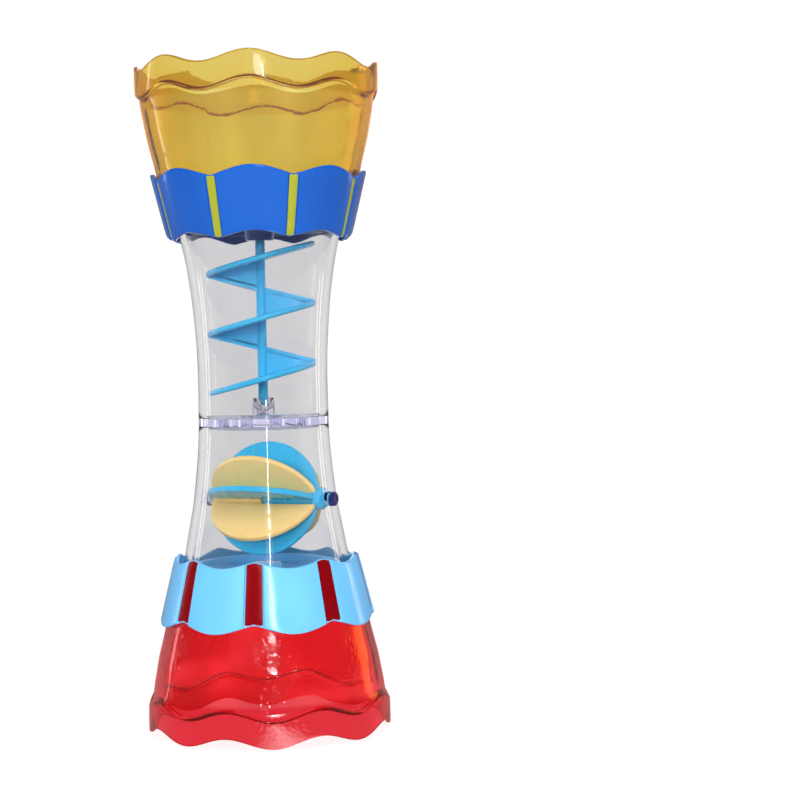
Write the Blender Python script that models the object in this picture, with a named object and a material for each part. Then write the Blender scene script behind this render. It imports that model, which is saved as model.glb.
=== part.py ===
"""Hourglass rain-and-water column toy: two scalloped see-through cups, two
scalloped collars, a waisted clear column in two halves, a clear partition with
a bearing socket, a spinning auger above it and a spinning eight-fin ball wheel
below it.

Sizes are in millimetres and are scaled to metres when a piece is built.  +Z is
up.  The origin is on the column's axis, in the plane of the lower rim's eight
resting crests.  +X runs along the ball wheel's axle, towards its push-in plug.
Angles (degrees) turn counter-clockwise about +Z from +X.

In names, _R is a radius, _D a distance in from the nearer end of the toy, _Z a
height and _T a thickness.
"""

import bmesh
import bpy
import math
from mathutils import Matrix, Vector

MM = 0.001
SHARP_ANGLE = 32.0        # edges that turn more than this are shaded sharp

# ---------------------------------------------------------- shared dimensions
HEIGHT = 205.0            # crest to crest, overall
WAVES = 8                 # scallops round each cup and each collar
WAVE_PITCH = 360.0 / WAVES
GAP = 0.3                 # clearance between neighbouring pieces
BORE_CLEAR = 0.2          # extra radius of the bores round axle, journal and shank

# the collar's skirt is a cone that the cup's neck nests in
SKIRT_R = 33.5            # outer radius at SKIRT_D
SKIRT_D = 33.2
SKIRT_SLOPE = 0.2448
SKIRT_WALL = 1.65
WEB_T = 1.6               # strainer web
WEB_CUP_D = 47.4          # its cup face
WEB_TUBE_D = WEB_CUP_D + WEB_T

# partition disc
DISC_Z0, DISC_Z1 = 94.05, 96.6

# turning parts that other pieces make room for
AUGER_JOURNAL_R = 1.35
WHEEL_Z = 71.2
NOSE_R = 1.9
JOURNAL_R = 1.15

ADD, CUT = "UNION", "DIFFERENCE"


# ------------------------------------------------------------------- helpers
def clear_scene():
    for obj in list(bpy.data.objects):
        bpy.data.objects.remove(obj, do_unlink=True)


def collection(name):
    made = bpy.data.collections.new(name)
    bpy.context.scene.collection.children.link(made)
    return made


def plastic(name, colour, roughness, alpha=1.0, transmission=0.0):
    mat = bpy.data.materials.new(name)
    mat.use_nodes = True
    shader = mat.node_tree.nodes["Principled BSDF"]
    shader.inputs["Base Color"].default_value = (*colour, 1.0)
    shader.inputs["Roughness"].default_value = roughness
    shader.inputs["Metallic"].default_value = 0.0
    shader.inputs["Alpha"].default_value = alpha
    shader.inputs["Transmission Weight"].default_value = transmission
    mat.diffuse_color = (*colour, alpha)
    return mat


def face_out(solid):
    bmesh.ops.recalc_face_normals(solid, faces=solid.faces)
    if solid.calc_volume(signed=True) < 0:
        bmesh.ops.reverse_faces(solid, faces=solid.faces)


def to_object(solid, name, coll, mat=None, origin=(0, 0, 0)):
    """A bmesh in millimetres as an object in metres, with its origin at the
    piece's own reference point."""
    face_out(solid)
    bmesh.ops.scale(solid, vec=(MM, MM, MM), verts=solid.verts)
    mesh = bpy.data.meshes.new(name)
    solid.to_mesh(mesh)
    solid.free()
    mesh.shade_smooth()
    mesh.set_sharp_from_angle(angle=math.radians(SHARP_ANGLE))
    obj = bpy.data.objects.new(name, mesh)
    coll.objects.link(obj)
    if mat is not None:
        mesh.materials.append(mat)
    at = Vector(origin) * MM
    mesh.transform(Matrix.Translation(-at))
    obj.location = at
    return obj


def boolean(obj, solid, name, operation):
    """Add or cut a solid, kept as a hidden helper object, with a modifier."""
    helper = to_object(solid, name, cutters)
    helper.hide_render = True
    helper.display_type = "WIRE"
    mod = obj.modifiers.new(operation.title() + "_" + name, "BOOLEAN")
    mod.operation = operation
    mod.solver = "EXACT"
    mod.object = helper


def even_angles(count, start=0.0):
    return [start + 360.0 * k / count for k in range(count)]


def turned(profile, angles, closed=True):
    """A profile of (radius, z) turned about Z through the given angles.
    An open profile starts and ends on the axis."""
    solid = bmesh.new()
    to_first = Matrix.Rotation(math.radians(angles[0]), 4, "Z")
    verts = [solid.verts.new(to_first @ Vector((radius, 0.0, z))) for radius, z in profile]
    pairs = list(zip(verts, verts[1:]))
    if closed:
        pairs.append((verts[-1], verts[0]))
    geom = verts + [solid.edges.new(pair) for pair in pairs]
    for angle, following in zip(angles, angles[1:] + [angles[0] + 360.0]):
        made = bmesh.ops.spin(solid, geom=geom, cent=(0, 0, 0), axis=(0, 0, 1),
                              angle=math.radians(following - angle), steps=1,
                              use_duplicate=False)
        geom = made["geom_last"]
    bmesh.ops.remove_doubles(solid, verts=solid.verts, dist=1e-4)
    return solid


def rod(radius, x0, x1, segments=20, end_radius=None):
    """A round bar along the wheel's axle line, tapered if it has an end radius."""
    solid = bmesh.new()
    bmesh.ops.create_cone(solid, cap_ends=True, cap_tris=False, segments=segments,
                          radius1=radius, radius2=end_radius or radius, depth=x1 - x0)
    bmesh.ops.rotate(solid, verts=solid.verts, cent=(0, 0, 0),
                     matrix=Matrix.Rotation(math.radians(90), 3, "Y"))
    bmesh.ops.translate(solid, verts=solid.verts, vec=((x0 + x1) / 2, 0, WHEEL_Z))
    return solid


def shape_with_rods(obj, rods):
    """Add and cut rods in turn: (helper name, operation, *arguments of rod)."""
    for name, operation, *sizes in rods:
        boolean(obj, rod(*sizes), name, operation)


def ring_of_posts(radius, z0, z1, pitch_r, angles, segments):
    """Round bars along Z on a pitch circle, as one mesh of drills."""
    solid = bmesh.new()
    for angle in map(math.radians, angles):
        made = bmesh.ops.create_cone(solid, cap_ends=True, cap_tris=False, segments=segments,
                                     radius1=radius, radius2=radius, depth=abs(z1 - z0))
        centre = (pitch_r * math.cos(angle), pitch_r * math.sin(angle), (z0 + z1) / 2)
        bmesh.ops.translate(solid, verts=made["verts"], vec=centre)
    return solid


# ---------------------------------------------- shape shared by cup and collar
def wave(angle, crest):
    return math.cos(WAVES * math.radians(angle - crest))


def skirt_r(depth):
    return SKIRT_R - SKIRT_SLOPE * (depth - SKIRT_D)


def end_z(depth, upper):
    return HEIGHT - depth if upper else depth


def turned_stations(stations, angles, upper, closed):
    """Turn stations that start with (depth, radius)."""
    profile = [(radius, end_z(depth, upper)) for depth, radius, *_ in stations]
    return turned(profile, angles, closed)


def locate(vert, stations, upper):
    """A turned vertex's radius, its angle and the extra columns of its station."""
    radius = math.hypot(vert.co.x, vert.co.y)
    angle = math.degrees(math.atan2(vert.co.y, vert.co.x))
    station = min(stations, key=lambda s: (abs(s[1] - radius)
                                           + abs(end_z(s[0], upper) - vert.co.z)))
    return radius, angle, station[2:]


# ---------------------------------------------------------------------- cups
CUP_WAVE = 1.5            # half the rim's scallop height
RIM_D = CUP_WAVE          # mean level of the rim's edge
BAND_R = 37.2             # rim band
SHOULDER_R = 36.2         # wall just below the band
CUP_WALL = 1.8
CUP_COLUMNS = 48
NECK_TOP_D = 32.4
NECK_END_D = WEB_CUP_D - GAP
UPPER_CUP_CREST = 22.5    # direction of one rim crest
LOWER_CUP_CREST = 27.9


def neck_r(depth):
    return skirt_r(depth) - (SKIRT_WALL + GAP)


def cup(name, upper, crest, mat):
    """An open-ended cup: a stepped scalloped rim band over a bellied wall whose
    neck nests inside the collar's skirt."""
    belly = [  # depth, outer radius
        (15.2, 35.5), (22.6, 34.15), (30.0, 32.3),
        (NECK_TOP_D, neck_r(NECK_TOP_D)), (NECK_END_D, neck_r(NECK_END_D)),
    ]
    stations = [  # depth, radius, share of the scallop
        (RIM_D, 35.9, 1), (RIM_D, BAND_R, 1), (RIM_D + 0.5, 37.5, 1),
        (10.4, BAND_R, 1), (10.6, SHOULDER_R, 1),
        *((depth, radius, 0) for depth, radius in belly),
        *((depth, radius - CUP_WALL, 0) for depth, radius in reversed(belly)),
        (9.6, SHOULDER_R - CUP_WALL, 1), (9.2, BAND_R - CUP_WALL, 1),
    ]
    # columns stand half a step either side of each crest, so each crest is a
    # small flat land; the scallop is scaled to put it at the end of the toy
    half_step = 360.0 / CUP_COLUMNS / 2
    height = CUP_WAVE / math.cos(WAVES * math.radians(half_step))
    solid = turned_stations(stations, even_angles(CUP_COLUMNS, crest + half_step),
                            upper, closed=True)
    outward = 1 if upper else -1
    for vert in solid.verts:
        _, angle, (share,) = locate(vert, stations, upper)
        if share:
            vert.co.z += outward * share * height * wave(angle, crest)
    to_object(solid, name, parts, mat, (0, 0, end_z(0, upper)))


# ------------------------------------------------------------------- collars
COLLAR_TOP_D = 34.6       # mean level of the cup-side scalloped edge
COLLAR_END_D = 53.3       # mean level of the tube-side scalloped edge
COLLAR_TOP_WAVE = 1.4
COLLAR_END_WAVE = 0.9
EDGE_BEVEL = 0.6          # length of the skirt's bevelled edges along the axis
CHANNEL_DEPTH = 0.5
CHANNEL_MEASURE_R = 31.0  # radius at which the channel widths hold
CHANNEL_EASE = 0.6        # angle of each channel's side
PANEL_COLUMN = 12.5       # angle of the extra mesh column beside each channel
UPPER_CHANNEL = 3.1       # width of the painted channels
LOWER_CHANNEL = 5.7
UPPER_STRIPE = 0.0        # direction of one channel
LOWER_STRIPE = 18.4
RING_D = WEB_TUBE_D + 2.5  # free edge of the ring on the web's tube face
RING_INNER_R = 21.5
UPPER_BOSS_D, LOWER_BOSS_D = 54.0, 51.4
BOSS_BORE_R = AUGER_JOURNAL_R + GAP
BOSS_BORE_D = WEB_TUBE_D + 0.6
DRAIN_COUNT = 8
DRAIN_R = 2.8
DRAIN_PITCH_R = 14.5
DRAIN_OVERRUN = 2


def collar(name, upper, stripe, channel, boss_d, bored, mat):
    """Skirt, strainer web and hub in one moulding.  The skirt has scalloped
    edges and eight shallow channels; the web has a ring of drain holes."""
    def inner_r(depth):
        return skirt_r(depth) - SKIRT_WALL

    top, end = COLLAR_TOP_D, COLLAR_END_D
    stations = [  # depth, radius, cup-side scallop share, tube-side share, outer surface
        (WEB_CUP_D, 0, 0, 0, 0),
        (WEB_CUP_D, inner_r(WEB_CUP_D), 0, 0, 0),
        (top, inner_r(top), 1, 0, 0),
        (top, skirt_r(top) - 0.5, 1, 0, 1),
        (top + EDGE_BEVEL, skirt_r(top + EDGE_BEVEL), 1, 0, 1),
        (end - EDGE_BEVEL, skirt_r(end - EDGE_BEVEL), 0, 1, 1),
        (end, skirt_r(end) - 0.45, 0, 1, 1),
        (end, inner_r(end), 0, 1, 0),
        (WEB_TUBE_D, inner_r(WEB_TUBE_D), 0, 0, 0),
        (WEB_TUBE_D, 23.3, 0, 0, 0), (RING_D, 22.6, 0, 0, 0),
        (RING_D, RING_INNER_R, 0, 0, 0), (WEB_TUBE_D, RING_INNER_R, 0, 0, 0),
        (WEB_TUBE_D, 4.4, 0, 0, 0), (boss_d, 4.3, 0, 0, 0),
    ]
    if bored:
        stations += [(boss_d, BOSS_BORE_R, 0, 0, 0), (BOSS_BORE_D, BOSS_BORE_R, 0, 0, 0),
                     (BOSS_BORE_D, 0, 0, 0, 0)]
    else:
        stations.append((boss_d, 0, 0, 0, 0))

    half = math.degrees(channel / 2 / CHANNEL_MEASURE_R)
    half_pitch = WAVE_PITCH / 2
    offsets = (-half_pitch, -PANEL_COLUMN, -half - CHANNEL_EASE, -half,
               half, half + CHANNEL_EASE, PANEL_COLUMN)
    angles = [centre + offset for centre in even_angles(WAVES, stripe) for offset in offsets]
    solid = turned_stations(stations, angles, upper, closed=False)

    outward = 1 if upper else -1
    for vert in solid.verts:
        radius, angle, (cup_share, tube_share, outside) = locate(vert, stations, upper)
        # panels bulge towards the cup, channels away from it
        shift = -wave(angle, stripe) * (cup_share * COLLAR_TOP_WAVE
                                        + tube_share * COLLAR_END_WAVE)
        if shift:                       # the edge stays on the skirt's cone
            grown = (radius + SKIRT_SLOPE * shift) / radius
            vert.co.x *= grown
            vert.co.y *= grown
            vert.co.z += outward * shift
        from_channel = (angle - stripe + half_pitch) % WAVE_PITCH - half_pitch
        if outside and abs(from_channel) < half + CHANNEL_EASE / 2:
            sunk = (radius - CHANNEL_DEPTH) / radius
            vert.co.x *= sunk
            vert.co.y *= sunk
    obj = to_object(solid, name, parts, mat, (0, 0, end_z(WEB_TUBE_D, upper)))

    drills = ring_of_posts(DRAIN_R, end_z(WEB_CUP_D - DRAIN_OVERRUN, upper),
                           end_z(WEB_TUBE_D + DRAIN_OVERRUN, upper), DRAIN_PITCH_R,
                           even_angles(DRAIN_COUNT, stripe + half_pitch), segments=16)
    boolean(obj, drills, name + "_drain_drills", CUT)


# -------------------------------------------------------------- clear column
TUBE_WALL = 2.0
TUBE_COLUMNS = 40
# (z, outer radius), from the waist outwards
UPPER_TUBE = [(96.9, 20.1), (106.0, 19.97), (116.0, 20.12), (126.4, 20.8),
              (135.0, 21.65), (143.0, 22.8), (149.5, 24.1), (155.7, 25.8)]
LOWER_TUBE = [(93.75, 20.1), (86.0, 20.5), (78.0, 21.3), (70.0, 22.3),
              (62.5, 23.7), (56.0, 24.9), (49.3, 26.2)]
# the wheel's nose journal runs in a hole through the wall at +X, and its other
# journal in a blind boss inside the wall at -X
TUBE_BEARINGS = [  # name, operation, radius, x0, x1, segments (20 if left out)
    ("journal_boss", ADD, 2.6, -21.2, -18.7),
    ("nose_drill", CUT, NOSE_R + 0.35, 18.0, 24.0),
    ("journal_drill", CUT, JOURNAL_R + BORE_CLEAR, -20.6, -18.0, 16),
]


def tube(name, levels, origin_z):
    profile = [(radius, z) for z, radius in levels]
    profile += [(radius - TUBE_WALL, z) for z, radius in reversed(levels)]
    return to_object(turned(profile, even_angles(TUBE_COLUMNS)),
                     name, parts, clear, (0, 0, origin_z))


# ------------------------------------------------------------ partition disc
DISC_R = 20.1
DISC_LIP = 1.1            # height of the locating lips
LIP_INNER_R, LIP_OUTER_R = 16.6, 17.8
SOCKET_TOP = 102.4
DISC_HOLES, DISC_HOLE_R, DISC_HOLE_PITCH_R = 8, 2.1, 10.6
DISC_OVERRUN = 1


def partition_disc():
    """A drilled disc with a lip on each face and a conical bearing socket."""
    profile = [
        (0, 98.2), (1.9, 101.2), (2.3, SOCKET_TOP), (3.3, SOCKET_TOP), (3.5, DISC_Z1),
        (LIP_INNER_R, DISC_Z1), (LIP_INNER_R, DISC_Z1 + DISC_LIP),
        (LIP_OUTER_R, DISC_Z1 + DISC_LIP), (LIP_OUTER_R, DISC_Z1),
        (DISC_R, DISC_Z1), (DISC_R, DISC_Z0),
        (LIP_OUTER_R, DISC_Z0), (LIP_OUTER_R, DISC_Z0 - DISC_LIP),
        (LIP_INNER_R, DISC_Z0 - DISC_LIP), (LIP_INNER_R, DISC_Z0), (0, DISC_Z0)]
    disc = to_object(turned(profile, even_angles(32), closed=False),
                     "partition_disc", parts, clear, (0, 0, DISC_Z0))
    drills = ring_of_posts(DISC_HOLE_R, DISC_Z0 - DISC_OVERRUN, DISC_Z1 + DISC_OVERRUN,
                           DISC_HOLE_PITCH_R, even_angles(DISC_HOLES), segments=14)
    boolean(disc, drills, "partition_drills", CUT)


# --------------------------------------------------------------------- auger
# A turned shaft with a pointed foot, and flights that a two-part mould can
# release: flat half-round blades that slope one way in front of the parting
# plane and the other way behind it, joined by triangular webs in that plane.
# Flights are made with the parting plane along X and the front towards -Y,
# then turned to BLADE_DIRECTION.
AUGER_R = 16.9
SHAFT_R = 1.5
AUGER_TIP_Z = 98.6
SHAFT_TOP_Z = 150.6
AUGER_JOURNAL_TOP_Z = 154.6
BLADE_T = 1.7             # also the webs' thickness
BLADE_RISE = 9.22         # one half turn
BLADE_Z0 = 103.8          # middle of the first blade where it starts
BLADE_DIRECTION = 26.1    # the parting plane's direction
BLADE_SEGMENTS = 24
FRONT_BLADES = 3
FLIGHT_WEB_TIP_R = AUGER_R - 1.0
FLIGHT_WEB_TIP_HALF = 0.4   # half the web's height at its tip
FLIGHT_WEB_PAST_AXIS = 0.6  # how far the web runs beyond the axis


def flight_part(outline, direction):
    """An outline pushed along a direction, then turned to the auger's own."""
    solid = bmesh.new()
    face = solid.faces.new([solid.verts.new(point) for point in outline])
    made = bmesh.ops.extrude_face_region(solid, geom=[face])
    moved = [item for item in made["geom"] if isinstance(item, bmesh.types.BMVert)]
    bmesh.ops.translate(solid, verts=moved, vec=direction)
    bmesh.ops.transform(solid, verts=solid.verts,
                        matrix=Matrix.Rotation(math.radians(BLADE_DIRECTION), 4, "Z"))
    return solid


def blade(z_left, front):
    """One half-round blade, from z_left at -X; front ones rise to +X, back ones
    fall to +X.  It runs past the parting plane by half the web's thickness."""
    slope = (1 if front else -1) * BLADE_RISE / (2 * AUGER_R)
    side = -1 if front else 1
    over = math.asin(BLADE_T / 2 / AUGER_R)
    tall = BLADE_T / math.cos(math.atan(slope))
    outline = []
    for k in range(BLADE_SEGMENTS + 1):
        angle = -over + (math.pi + 2 * over) * k / BLADE_SEGMENTS
        x = AUGER_R * math.cos(angle)
        y = side * AUGER_R * math.sin(angle)
        outline.append((x, y, z_left + slope * (x + AUGER_R) - tall / 2))
    return flight_part(outline, (0, 0, tall))


def flight_web(z_tip, left):
    """A triangular web in the parting plane, from its tip near the rim to the
    shaft; left is towards -X."""
    side = -1 if left else 1
    y = BLADE_T / 2
    tip_x, root_x = side * FLIGHT_WEB_TIP_R, -side * FLIGHT_WEB_PAST_AXIS
    rise = BLADE_RISE / 2
    outline = [(tip_x, y, z_tip - FLIGHT_WEB_TIP_HALF), (tip_x, y, z_tip + FLIGHT_WEB_TIP_HALF),
               (root_x, y, z_tip + rise), (root_x, y, z_tip - rise)]
    return flight_part(outline, (0, -BLADE_T, 0))


def auger():
    profile = [(0, AUGER_TIP_Z), (1.3, 101.8), (SHAFT_R, 102.2), (SHAFT_R, SHAFT_TOP_Z),
               (AUGER_JOURNAL_R, SHAFT_TOP_Z + 0.2),
               (AUGER_JOURNAL_R, AUGER_JOURNAL_TOP_Z), (0, AUGER_JOURNAL_TOP_Z)]
    obj = to_object(turned(profile, even_angles(18, 3.0), closed=False),
                    "auger", parts, sky, (0, 0, AUGER_TIP_Z))
    for k in range(FRONT_BLADES):
        start = BLADE_Z0 + 2 * BLADE_RISE * k
        half_turn, full_turn = start + BLADE_RISE, start + 2 * BLADE_RISE
        boolean(obj, blade(start, front=True), f"front_blade_{k + 1}", ADD)
        if k < FRONT_BLADES - 1:
            boolean(obj, flight_web(half_turn, left=False), f"right_web_{k + 1}", ADD)
            boolean(obj, blade(full_turn, front=False), f"back_blade_{k + 1}", ADD)
            boolean(obj, flight_web(full_turn, left=True), f"left_web_{k + 1}", ADD)


# ---------------------------------------------------------------- ball wheel
# Two mouldings that slide together, four fins each.
WHEEL_R = 17.8
FIN_T = 1.7
FIN_SEGMENTS = 40
CROSS_FIN_R = WHEEL_R - 0.1   # the second disc of each half
BLUE_FIN = 14.0           # tilt of the first blue fin above -Y, about the axle
CREAM_FIN = 49.0
HUB_R = 2.6
HUB_CLEAR_R = 3.1
BARREL_R = 3.4
AXLE_R = 1.4
PLUG_R = 2.2
PLUG_SHANK_R = 1.0
PLUG_X = 22.4             # inner face of the plug's head

# name, operation, radius, x0, x1, segments (20 if left out), radius at x1 if tapered
BLUE_RODS = [
    ("blue_relief", CUT, HUB_CLEAR_R, -20, 0),
    ("blue_hub", ADD, HUB_R, 0.4, 17.1),
    ("blue_barrel", ADD, BARREL_R, 16.9, 19.3),
    ("blue_nose", ADD, 3.15, 19.15, 20.0, 20, NOSE_R),
    ("blue_nose_journal", ADD, NOSE_R, 19.85, 22.0),
    ("blue_axle", ADD, AXLE_R, -17.4, 1.0, 16),
    ("blue_journal", ADD, JOURNAL_R, -20.1, -17.0, 16),
    ("blue_bore", CUT, PLUG_SHANK_R + BORE_CLEAR, 17.5, 22.5, 16),
]
CREAM_RODS = [
    ("cream_relief", CUT, HUB_CLEAR_R, -0.3, 20),
    ("cream_barrel_relief", CUT, BARREL_R + 0.4, 16.5, 20),
    ("cream_hub", ADD, HUB_R, -17.0, -0.7),
    ("cream_bore", CUT, AXLE_R + BORE_CLEAR, -20.0, 0.5, 16),
]
PLUG_RODS = [
    ("plug_dome", ADD, PLUG_R, 23.4, 24.1, 20, 1.6),
    ("plug_shank", ADD, PLUG_SHANK_R, 18.0, 22.8, 16),
]


def fin_disc(tilt, radius):
    """Two opposite half-round fins, as one thin disc that holds the axle line.
    It is turned half a segment, so that a flat and not a corner meets the axle."""
    solid = bmesh.new()
    bmesh.ops.create_cone(solid, cap_ends=True, cap_tris=False, segments=FIN_SEGMENTS,
                          radius1=radius, radius2=radius, depth=FIN_T)
    for angle, axis in ((360.0 / FIN_SEGMENTS / 2, "Z"), (-tilt, "X")):
        bmesh.ops.rotate(solid, verts=solid.verts, cent=(0, 0, 0),
                         matrix=Matrix.Rotation(math.radians(angle), 3, axis))
    bmesh.ops.translate(solid, verts=solid.verts, vec=(0, 0, WHEEL_Z))
    return solid


def wheel_half(colour, tilt, rods, mat):
    obj = to_object(fin_disc(tilt, WHEEL_R), f"wheel_{colour}_half", parts, mat,
                    (0, 0, WHEEL_Z))
    boolean(obj, fin_disc(tilt + 90, CROSS_FIN_R), f"{colour}_fins", ADD)
    shape_with_rods(obj, rods)


def axle_plug():
    """Closes the nose from outside the tube wall and turns with the wheel."""
    obj = to_object(rod(PLUG_R, PLUG_X, 23.6), "axle_plug", parts, navy,
                    (PLUG_X, 0, WHEEL_Z))
    shape_with_rods(obj, PLUG_RODS)


# ------------------------------------------------------------------ the model
clear_scene()
parts = collection("rain_column_toy")
cutters = collection("cutters")

amber = plastic("amber_clear_plastic", colour=(0.80, 0.52, 0.07), roughness=0.08,
                alpha=0.6, transmission=0.6)
red = plastic("red_clear_plastic", colour=(0.72, 0.01, 0.015), roughness=0.08,
              alpha=0.75, transmission=0.4)
blue = plastic("blue_plastic", colour=(0.02, 0.14, 0.75), roughness=0.18)
sky = plastic("sky_blue_plastic", colour=(0.10, 0.48, 0.85), roughness=0.2)
pale_sky = plastic("pale_sky_plastic", colour=(0.2, 0.65, 0.98), roughness=0.2)
clear = plastic("clear_plastic", colour=(0.93, 0.94, 0.96), roughness=0.05,
                alpha=0.3, transmission=0.95)
cream = plastic("cream_plastic", colour=(0.86, 0.68, 0.33), roughness=0.3)
navy = plastic("navy_plastic", colour=(0.012, 0.012, 0.07), roughness=0.3)

cup("upper_cup", upper=True, crest=UPPER_CUP_CREST, mat=amber)
cup("lower_cup", upper=False, crest=LOWER_CUP_CREST, mat=red)
collar("upper_collar", upper=True, stripe=UPPER_STRIPE, channel=UPPER_CHANNEL,
       boss_d=UPPER_BOSS_D, bored=True, mat=blue)
collar("lower_collar", upper=False, stripe=LOWER_STRIPE, channel=LOWER_CHANNEL,
       boss_d=LOWER_BOSS_D, bored=False, mat=pale_sky)
tube("upper_tube", UPPER_TUBE, DISC_Z1)
shape_with_rods(tube("lower_tube", LOWER_TUBE, DISC_Z0), TUBE_BEARINGS)
partition_disc()
auger()
wheel_half("blue", BLUE_FIN, BLUE_RODS, sky)
wheel_half("cream", CREAM_FIN, CREAM_RODS, cream)
axle_plug()
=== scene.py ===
# A see-through tube between two flared cups, standing upright on the Z axis with
# its lower rim by z = 0 and the amber cup on top. Blue collars with coloured
# stripes join cups to tube. Inside are a partition disc, an auger above it and a
# finned wheel below it, whose axle lies along X. Shapes are in millimetres and
# are scaled on the way in; the stage is in metres.
import math

import bmesh
import bpy
import numpy as np
from mathutils import Matrix, Vector


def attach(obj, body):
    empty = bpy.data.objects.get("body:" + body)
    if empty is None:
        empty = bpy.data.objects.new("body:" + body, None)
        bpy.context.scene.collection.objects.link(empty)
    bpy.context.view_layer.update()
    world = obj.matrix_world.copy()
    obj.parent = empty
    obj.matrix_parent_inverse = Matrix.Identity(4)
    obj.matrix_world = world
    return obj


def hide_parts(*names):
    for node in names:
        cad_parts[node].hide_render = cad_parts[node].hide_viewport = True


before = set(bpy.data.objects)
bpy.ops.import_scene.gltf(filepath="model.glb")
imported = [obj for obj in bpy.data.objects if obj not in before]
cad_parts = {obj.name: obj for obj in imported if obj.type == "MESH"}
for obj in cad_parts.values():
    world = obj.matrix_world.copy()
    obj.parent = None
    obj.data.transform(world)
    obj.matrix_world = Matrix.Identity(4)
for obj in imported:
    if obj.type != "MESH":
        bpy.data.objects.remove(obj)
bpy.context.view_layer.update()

# ----------------------------------------------------------------- dimensions
# A name ending in _D is a depth, measured inwards from the nearer end.
MILLI = 0.001                      # one millimetre, in metres
HEIGHT = 205.0
WAVES = 8                          # panels round each cup and collar
PITCH = 360.0 / WAVES              # degrees
HALF_PITCH = PITCH / 2
RIM_D = 1.5
RIM_WAVE = 1.5                     # height of the rim's wave
CUP_WALL = 1.8
UPPER_CREST, LOWER_CREST = 22.5, 27.9        # heading of a rim crest, degrees
UPPER_STRIPE, LOWER_STRIPE = 0.0, 18.4       # heading of a stripe, degrees
# the collar's skirt is a cone: radius SKIRT_R at depth SKIRT_D
SKIRT_R, SKIRT_D, SKIRT_SLOPE, SKIRT_WALL = 33.5, 33.2, 0.2448, 1.65
LIP = SKIRT_WALL + 0.3             # how far the cup's nose sits inside the skirt
COLLAR_TOP_D, COLLAR_END_D = 34.6, 53.3
COLLAR_MID_D = 44.0
TOP_WAVE, END_WAVE = 1.4, 1.0      # height of the waves on the collar's two edges
WEB_CUP_D, WEB_TUBE_D = 47.4, 49.0           # the two faces of the strainer web
TUBE_WALL = 2.0
WHEEL_Z, WHEEL_R = 71.2, 17.8
BLUE_FIN, CREAM_FIN = 14.0, 49.0   # tilt of each half's first fin, degrees

# directions on the stage
VIEW = math.radians(-63.9)         # heading of the viewer, about +Z
towards = Vector((math.cos(VIEW), math.sin(VIEW), 0))
rightwards = Vector((-towards.y, towards.x, 0))
up = Vector((0, 0, 1))
MIDDLE = Vector((0, 0, HEIGHT / 2 * MILLI))


def skirt_r(depth):
    return SKIRT_R - SKIRT_SLOPE * (depth - SKIRT_D)


def end_z(depth, upper):
    return HEIGHT - depth if upper else depth


# ------------------------------------------------------------- mesh building
def new_object(name, data):
    obj = bpy.data.objects.new(name, data)
    bpy.context.scene.collection.objects.link(obj)
    return obj


def mesh_object(name, solid):
    """An object holding the bmesh, which is used up."""
    mesh = bpy.data.meshes.new(name)
    solid.to_mesh(mesh)
    solid.free()
    return new_object(name, mesh)


def scale_to_metres(solid):
    bmesh.ops.scale(solid, vec=(MILLI, MILLI, MILLI), verts=solid.verts)


def smooth(mesh, sharp):
    """Smooth shading, except across edges steeper than sharp degrees."""
    mesh.shade_smooth()
    mesh.set_sharp_from_angle(angle=math.radians(sharp))


def make(name, solid, mat, body, sharp, replaces=None):
    """The bmesh, in millimetres, as a finished piece that rides on a body."""
    bmesh.ops.remove_doubles(solid, verts=solid.verts, dist=1e-5)
    bmesh.ops.recalc_face_normals(solid, faces=solid.faces)
    if solid.calc_volume(signed=True) < 0:
        bmesh.ops.reverse_faces(solid, faces=solid.faces)
    scale_to_metres(solid)
    obj = mesh_object(name, solid)
    smooth(obj.data, sharp)
    obj.data.materials.append(mat)
    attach(obj, body)
    if replaces:
        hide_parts(replaces)
    return obj


def grid(points, wrap_u=True, wrap_v=True):
    """A bmesh from an array (u, v, 3); u runs along the profile, v round."""
    rows, columns = points.shape[:2]
    solid = bmesh.new()
    verts = [solid.verts.new(point) for point in points.reshape(-1, 3)]
    for i in range(rows if wrap_u else rows - 1):
        here, below = i * columns, (i + 1) % rows * columns
        for j in range(columns if wrap_v else columns - 1):
            beside = (j + 1) % columns
            solid.faces.new((verts[here + j], verts[here + beside],
                             verts[below + beside], verts[below + j]))
    return solid


def slab(outline, shift):
    """A flat outline of 3D points, thickened by the shift."""
    solid = bmesh.new()
    face = solid.faces.new([solid.verts.new(point) for point in outline])
    made = bmesh.ops.extrude_face_region(solid, geom=[face])
    moved = [item for item in made["geom"] if isinstance(item, bmesh.types.BMVert)]
    bmesh.ops.translate(solid, verts=moved, vec=shift)
    return solid


def fillet(points, closed=True, steps=4):
    """Rounds a profile's corners. A point is (radius, z, extra..., corner
    radius): every value but the last is carried along the rounding."""
    corners = [np.array(point[:-1], float) for point in points]
    rounded = []
    for i, corner in enumerate(corners):
        size = points[i][-1]
        if size <= 0 or (not closed and i in (0, len(corners) - 1)):
            rounded.append(corner)
            continue
        back = corners[i - 1] - corner
        ahead = corners[(i + 1) % len(corners)] - corner
        back_length, ahead_length = np.hypot(*back[:2]), np.hypot(*ahead[:2])
        cosine = np.clip(np.dot(back[:2], ahead[:2]) / (back_length * ahead_length), -1, 1)
        cut = min(size / max(math.tan(math.acos(cosine) / 2), 1e-6),
                  0.48 * back_length, 0.48 * ahead_length)
        start = corner + back * cut / back_length
        end = corner + ahead * cut / ahead_length
        for k in range(steps + 1):
            part = k / steps
            rounded.append((1 - part) ** 2 * start + 2 * part * (1 - part) * corner
                           + part * part * end)
    return np.array(rounded)


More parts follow.
